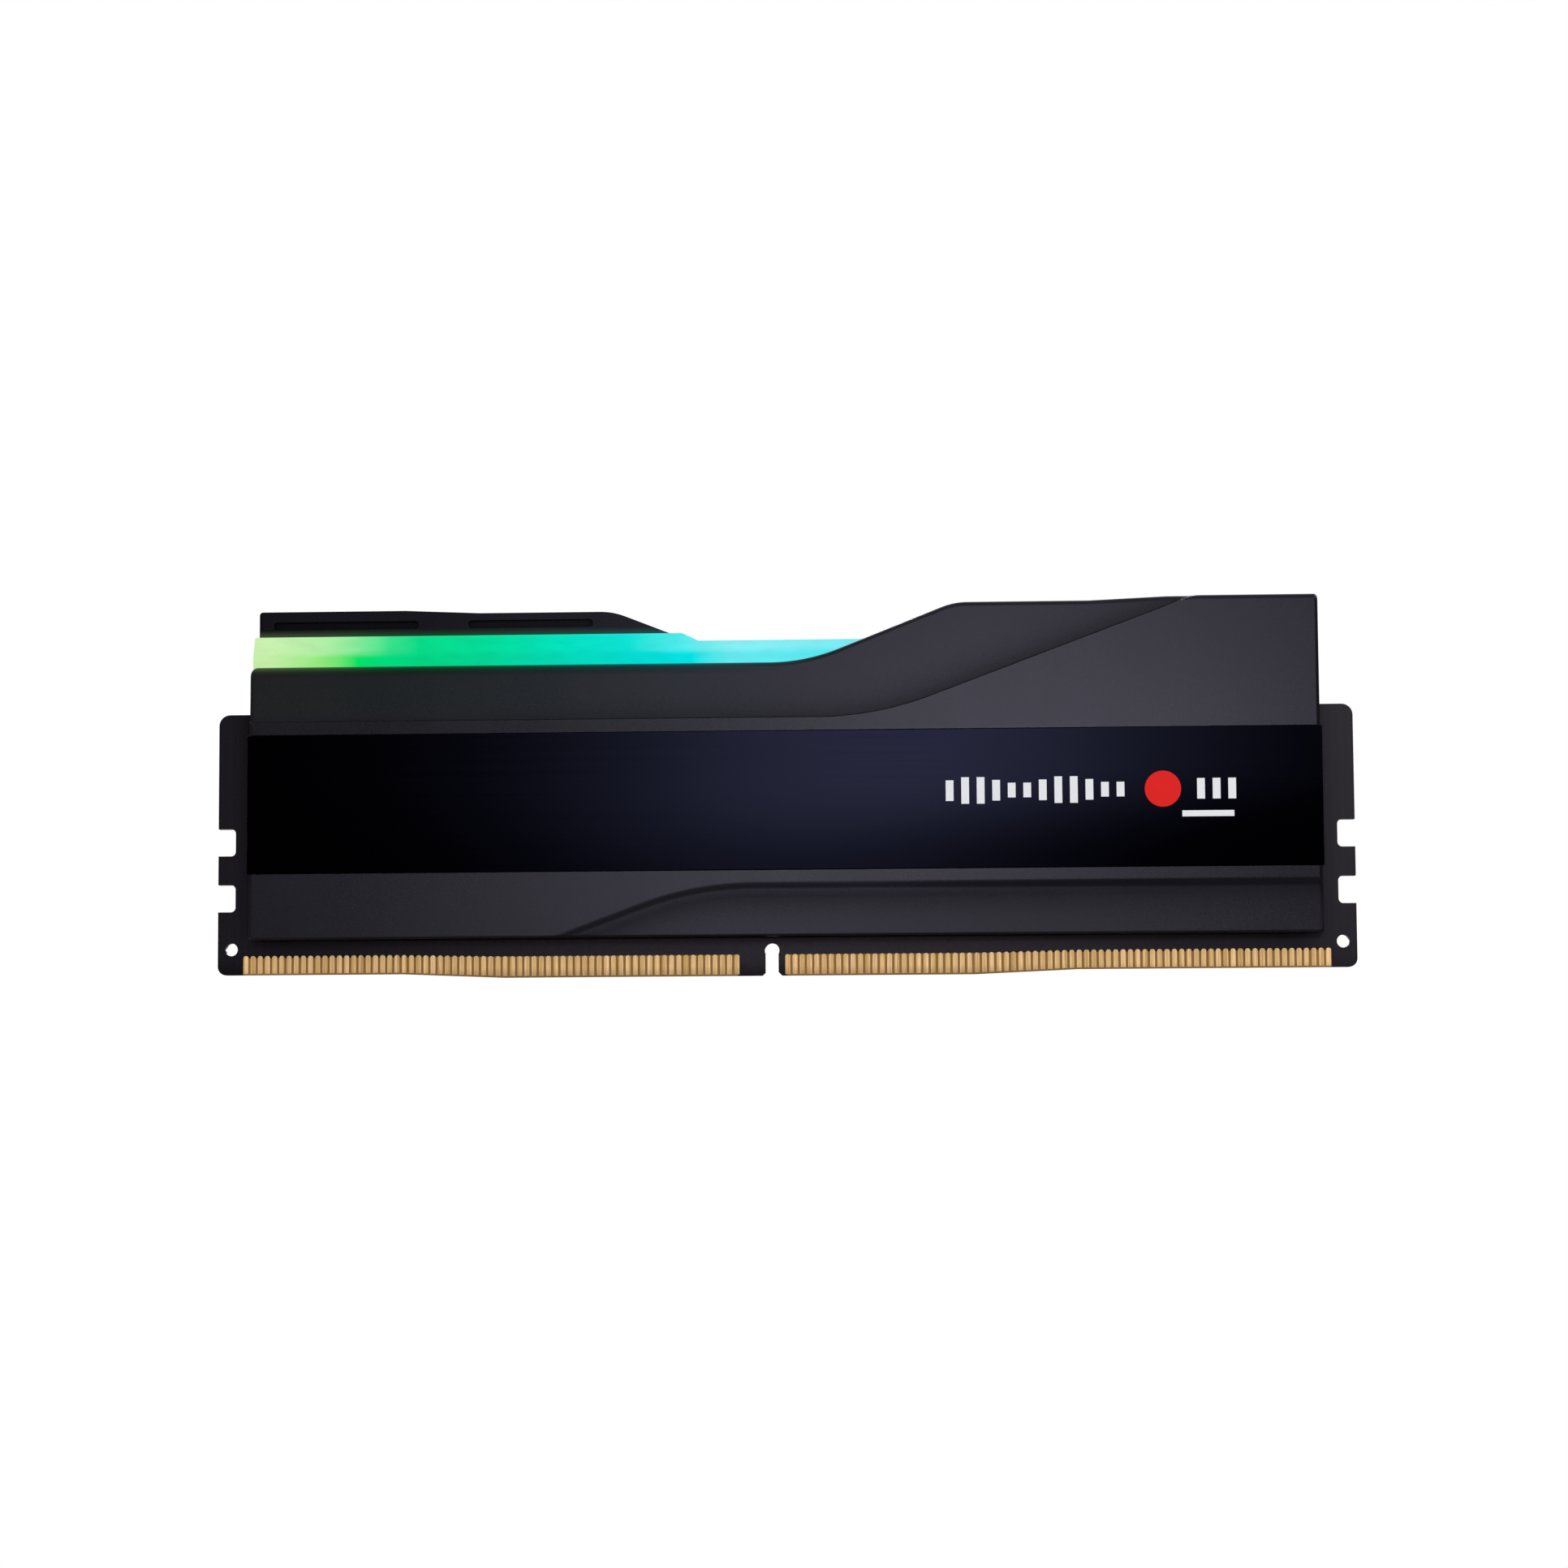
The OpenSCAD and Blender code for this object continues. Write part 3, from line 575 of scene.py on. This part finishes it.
def field_drop(d, wall, step, hollow, fade, lean):
    """How far the face lies below the raised panel: a rounded step, a hollow that fades out, and a lean."""
    into = max(d - wall / 2, 0.0)
    share = max(0.0, min(1.0, 0.5 + d / wall))
    return (step + hollow * (1 - math.exp(-into / fade)) + lean * into) * share * share * (3 - 2 * share)


def arc_drop(distance, radius):
    """How far a quarter-round falls away at a distance from the edge."""
    if distance >= radius:
        return 0.0
    return radius - math.sqrt(max(0.0, radius ** 2 - (radius - max(0.0, distance)) ** 2))


def top_edge(x, half, high):
    """Height of the spreader's top edge: low edge, foot arc, slope, shoulder arc, then the stepped wing."""
    wing_low = high - WING_DROP
    both = FOOT_R + SHOULDER_R
    rise = wing_low - LOW_EDGE - both * (1 - math.cos(SLOPE_ANGLE))
    shoulder_x = FOOT_X + both * math.sin(SLOPE_ANGLE) + rise / math.tan(SLOPE_ANGLE)
    if x < FOOT_X:
        return LOW_EDGE - arc_drop(x + half, LOW_CORNER_R)
    if x < FOOT_X + FOOT_R * math.sin(SLOPE_ANGLE):
        return LOW_EDGE + FOOT_R - math.sqrt(FOOT_R ** 2 - (x - FOOT_X) ** 2)
    if x < shoulder_x - SHOULDER_R * math.sin(SLOPE_ANGLE):
        start = FOOT_X + FOOT_R * math.sin(SLOPE_ANGLE)
        return LOW_EDGE + FOOT_R * (1 - math.cos(SLOPE_ANGLE)) + (x - start) * math.tan(SLOPE_ANGLE)
    if x < shoulder_x:
        return wing_low - SHOULDER_R + math.sqrt(SHOULDER_R ** 2 - (shoulder_x - x) ** 2)
    step = max(0.0, min(1.0, (x - WING_STEP[0]) / (WING_STEP[1] - WING_STEP[0])))
    return wing_low + WING_DROP * step - arc_drop(half - x, WING_CORNER_R)


def slot_half(x):
    """Half the height of the slots in the wing's inner face, which have round ends."""
    for start, end in SLOT_SPANS:
        if start < x < end:
            inset = min(x - start, end - x, SLOT_H / 2)
            return math.sqrt((SLOT_H / 2) ** 2 - (SLOT_H / 2 - inset) ** 2)
    return 0.0


def quarter_round(step_deg):
    """How far in from a quarter-round's end its rows lie, as shares of its radius."""
    return [1 - math.cos(math.radians(a)) for a in range(0, 91, step_deg)]


def spreader_columns(half):
    """Places along the module where a cross-section is taken, closer together at ends and corners."""
    count = round(2 * half / COLUMN_STEP)
    even = [-half + i * 2 * half / count for i in range(count + 1)]
    ends = [s * (half - LOW_CORNER_R * share) for share in quarter_round(CORNER_DEG) for s in (-1, 1)]
    round_ends = []
    for start, end in SLOT_SPANS:
        for share in quarter_round(CORNER_DEG):
            inset = SLOT_H / 2 * share
            round_ends += [start + inset, end - inset]
    steps = list(WING_STEP) + [s * (half - SIDE_CHAMFER) for s in (-1, 1)]
    kept = []
    for x in sorted(set(round(v, 4) for v in even + ends + round_ends + steps)):
        if not kept or x - kept[-1] > LEAST_STEP:
            kept.append(x)
    return kept


def spreader_section(x, low, high, groove):
    """Cross-section of the spreader at one place, as a closed loop of (x, y, z) points."""
    half = high.x
    panel, inner = -low.y, -high.y
    top = top_edge(x, half, high.z)
    bottom = low.z
    round_rows = quarter_round(ROUNDING_DEG)
    step_rows = [i / 10 for i in range(-6, 6)]
    chamfer = panel - max(0.0, abs(x) - (half - SIDE_CHAMFER))
    share = max(0.0, min(1.0, (x - DEEPEN_FROM) / (DEEPEN_TO - DEEPEN_FROM)))
    step, hollow, fade, lean = LOWER_FIELD
    lower_field = (step + DEEPEN_BY * share, hollow, fade, lean - UNBEND_BY * share ** 2)

    def depth(z):
        upper = crease_distance(x - UPPER_CREASE[0], z - UPPER_CREASE[1])
        lower = crease_distance(LOWER_CREASE[0] - x, LOWER_CREASE[1] - z)
        drops = field_drop(upper, UPPER_WALL, *UPPER_FIELD), field_drop(lower, LOWER_WALL, *lower_field)
        level = panel - max(drops)
        if groove[0] < z < groove[1]:
            level = panel - GROOVE_DEPTH
        level = min(level, chamfer)
        return level - arc_drop(z - bottom, LOW_EDGE_R) - arc_drop(top - z, TOP_EDGE_R)

    rows = [bottom + LOW_EDGE_R * r for r in round_rows] + [bottom + LOW_EDGE_R + HOLD]
    for d in reversed([r * LOWER_WALL for r in step_rows] + [r + LOWER_WALL / 2 for r in HOLLOW_ROWS]):
        rows.append(LOWER_CREASE[1] - crease_height(LOWER_CREASE[0] - x, d))
    rows += [groove[0], groove[0] + WALL_DRAFT, groove[1] - WALL_DRAFT, groove[1]]
    for d in [-HOLD] + [r * UPPER_WALL for r in step_rows] + [r + UPPER_WALL / 2 for r in HOLLOW_ROWS]:
        rows.append(UPPER_CREASE[1] + crease_height(x - UPPER_CREASE[0], d))
    ends = [top - TOP_EDGE_R * r for r in reversed(round_rows)]
    loop = []
    reached = bottom
    for z in rows + [ends[0] - HOLD]:
        reached = max(reached, min(z, ends[0] - HOLD))
        loop.append((x, -depth(reached), reached))
    loop += [(x, -depth(z), z) for z in ends]
    slot = slot_half(x)
    sunk = SLOT_DEPTH if slot > 0 else 0.0
    for z, extra in (
        (top, 0.0), (SLOT_Z + slot + WALL_DRAFT, 0.0), (SLOT_Z + slot, sunk), (SLOT_Z - slot, sunk),
        (SLOT_Z - slot - WALL_DRAFT, 0.0), (bottom, 0.0),
    ):
        loop.append((x, -inner - extra, min(z, top)))
    return loop


def spreader_shells():
    """The front shell through its cross-sections, and the same shell turned round for the rear."""
    low, high = (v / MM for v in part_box("heatspreader_front"))
    strip_low, strip_high = (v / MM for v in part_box("insert_strip_front"))
    groove = (strip_low.z - GROOVE_GAP, strip_high.z + GROOVE_GAP)
    sections = [spreader_section(x, low, high, groove) for x in spreader_columns(high.x)]
    front = loft("front_spreader_shell", sections)
    smooth_by_angle(front, SHELL_DEG)
    rear = front.copy()
    rear.transform(Matrix.Rotation(math.pi, 4, "Z"))
    give(object_of("front_spreader_shell", front), "spreader_coat", "heatspreader_front")
    give(object_of("rear_spreader_shell", rear), "spreader_coat", "heatspreader_rear")


spreader_shells()
refine("pcb", "circuit_board", "board_mask", 0.05)
refine("light_bar", "diffuser_bar", "light_diffuser", 0.18, 3, 15)
for side in ("front", "rear"):
    refine("insert_strip_" + side, side + "_brushed_strip", "brushed_black", 0.1)
for i in range(1, 9):
    refine(f"dram_chip_{i}", f"memory_package_{i}", "chip_resin", 0.05)
for node, name, slot, radius in (
    ("power_chip", "power_package", "chip_resin", 0.05),
    ("spd_hub_chip", "hub_package", "chip_resin", 0.05),
    ("led_driver_chip", "driver_package", "chip_resin", 0.05),
    ("power_inductors", "inductor_bodies", "ferrite", 0.12),
    ("bulk_capacitors", "large_capacitors", "capacitor_ceramic", 0.06),
    ("decoupling_capacitors", "small_capacitors", "capacitor_ceramic", 0.04),
    ("bus_resistors", "small_resistors", "resistor_film", 0.03),
    ("rgb_leds", "diode_bodies", "led_lens", 0.08),
    ("dram_pad_left", "left_memory_pad", "thermal_pad", 0.12),
    ("dram_pad_right", "right_memory_pad", "thermal_pad", 0.12),
    ("power_pad", "power_stage_pad", "thermal_pad", 0.12),
    ("rear_pad", "rear_board_pad", "thermal_pad", 0.3),
    ("edge_contacts_front", "front_gold_contacts", "contact_gold", 0.015),
    ("edge_contacts_rear", "rear_gold_contacts", "contact_gold", 0.015),
    ("rear_label", "blank_label", "label_film", 0.02),
):
    refine(node, name, slot, radius)

# CAD pieces that keep their own shape and only take a finish
KEPT = {
    "strip_adhesive_front": "adhesive_film", "strip_adhesive_rear": "adhesive_film",
    "light_bar_tape_front": "foam_tape", "light_bar_tape_rear": "foam_tape",
    "mark_white_front": "print_white", "mark_white_rear": "print_white",
    "mark_red_front": "print_red", "mark_red_rear": "print_red",
}
for node, slot in KEPT.items():
    nodes[node].data.materials.clear()
    nodes[node].data.materials.append(FINISH[slot])


# ---------------------------------------------------------------- studio

# The tent starts at one height above the horizon, in degrees, and is full at the other
TENT_FROM, TENT_TO = 12, 30
TENT, HORIZON = (1.4, 1.4, 1.42, 1), (0.15, 0.15, 0.16, 1)

# Every softbox is turned to one point, and those for the faces stand this far out from the module
LIGHT_AIM, LIGHT_Y = Vector((0, 0, 0.022)), 0.75

FLOOR_GAP = 0.2 * MM
FLOOR_R, FLOOR_CLEAR_R = 0.75, 0.16
FLOOR_LOW, FLOOR_HIGH, FLOOR_BOUNCE = (0.82, 0.82, 0.83, 1), (0.86, 0.86, 0.87, 1), (0.5, 0.5, 0.5, 1)


def studio_floor():
    """A pale disc that fades into the white surround and can't be seen from below."""
    bm = bmesh.new()
    bmesh.ops.create_circle(bm, cap_ends=True, segments=96, radius=FLOOR_R)
    mesh = bpy.data.meshes.new("floor")
    bm.to_mesh(mesh)
    bm.free()
    floor = object_of("floor", mesh)
    floor.location.z = -FLOOR_GAP
    made, t = material("floor")
    place = t.add("TexCoord").outputs["Object"]
    far = t.add("VectorMath", {0: place}, operation="LENGTH").outputs["Value"]
    fade = t.span(far, FLOOR_CLEAR_R, FLOOR_R)
    eye = t.add("LightPath").outputs["Is Camera Ray"]
    under = t.product(eye, t.add("NewGeometry").outputs["Backfacing"])
    hidden = t.math("MAXIMUM", under, t.product(eye, fade))
    tone = t.noise(place, 40.0, 3.0)
    colour = t.mix(eye, FLOOR_BOUNCE, t.mix(tone, FLOOR_LOW, FLOOR_HIGH))
    pale = t.add("BsdfDiffuse", {"Color": colour}).outputs[0]
    clear = t.add("BsdfTransparent").outputs[0]
    mixed = t.add("MixShader", {0: hidden, 1: pale, 2: clear}).outputs[0]
    t.add("OutputMaterial", {"Surface": mixed})
    floor.data.materials.append(made)


def studio_world():
    """White to the eye; to everything else a bright tent overhead that ends above the horizon."""
    world = bpy.data.worlds.new("studio")
    bpy.context.scene.world = world
    t = Tree(world)
    eye = t.add("LightPath").outputs["Is Camera Ray"]
    rise = t.add("SeparateXYZ", {"Vector": t.add("TexCoord").outputs["Generated"]}).outputs["Z"]
    tent = t.span(rise, math.sin(math.radians(TENT_FROM)), math.sin(math.radians(TENT_TO)))
    colour = t.mix(eye, t.mix(tent, HORIZON, TENT), WHITE)
    glow = t.add("Background", {"Color": colour, "Strength": 1.0}).outputs[0]
    t.add("OutputWorld", {"Surface": glow})


def softbox(name, place, size, power):
    """A rectangular light at a place, turned to the middle of the module."""
    light = bpy.data.lights.new(name, "AREA")
    light.shape = "RECTANGLE"
    light.size, light.size_y = size
    light.energy = power
    made = bpy.data.objects.new(name, light)
    made.location = place
    made.rotation_mode = "QUATERNION"
    made.rotation_quaternion = (LIGHT_AIM - Vector(place)).to_track_quat("-Z", "Y")
    bpy.context.scene.collection.objects.link(made)


def studio_lights():
    """A pair of small softboxes for each face and one at each end, under the tent's even light."""
    for s, face in ((1, "front"), (-1, "rear")):
        softbox(face + "_right", (0.054 * s, -LIGHT_Y * s, 0.186), size=(0.12, 0.10), power=0.97)
        softbox(face + "_left", (-0.025 * s, -LIGHT_Y * s, 0.034), size=(0.16, 0.06), power=0.54)
    for s, end in ((-1, "left_end"), (1, "right_end")):
        softbox(end, (0.7 * s, 0, 0.4), size=(0.2, 0.2), power=0.8)


# The camera looks along the line from its place to the aim point, turned a little about it
AZIMUTH, ELEVATION, ROLL = math.radians(2.13), math.radians(-4.75), math.radians(-0.38)
AIM = Vector((0.0001, 0, 0.0225))
DISTANCE = 0.4036
LENS, SENSOR = 78.8, 36.0


def camera():
    """The camera that looks at the module from the front, a little from below."""
    back = Vector((
        math.sin(AZIMUTH) * math.cos(ELEVATION), -math.cos(AZIMUTH) * math.cos(ELEVATION), math.sin(ELEVATION)
    ))
    level = Vector((math.cos(AZIMUTH), math.sin(AZIMUTH), 0))
    rise = back.cross(level)
    right = level * math.cos(ROLL) + rise * math.sin(ROLL)
    up = back.cross(right)
    data = bpy.data.cameras.new("camera")
    data.sensor_width, data.lens = SENSOR, LENS
    data.clip_start, data.clip_end = 0.01, 20
    made = bpy.data.objects.new("camera", data)
    turn = Matrix((right, up, back)).transposed().to_4x4()
    made.matrix_world = Matrix.Translation(AIM + back * DISTANCE) @ turn
    bpy.context.scene.collection.objects.link(made)
    bpy.context.scene.camera = made


studio_floor()
studio_world()
studio_lights()
camera()
bpy.context.scene.view_settings.view_transform = "Standard"
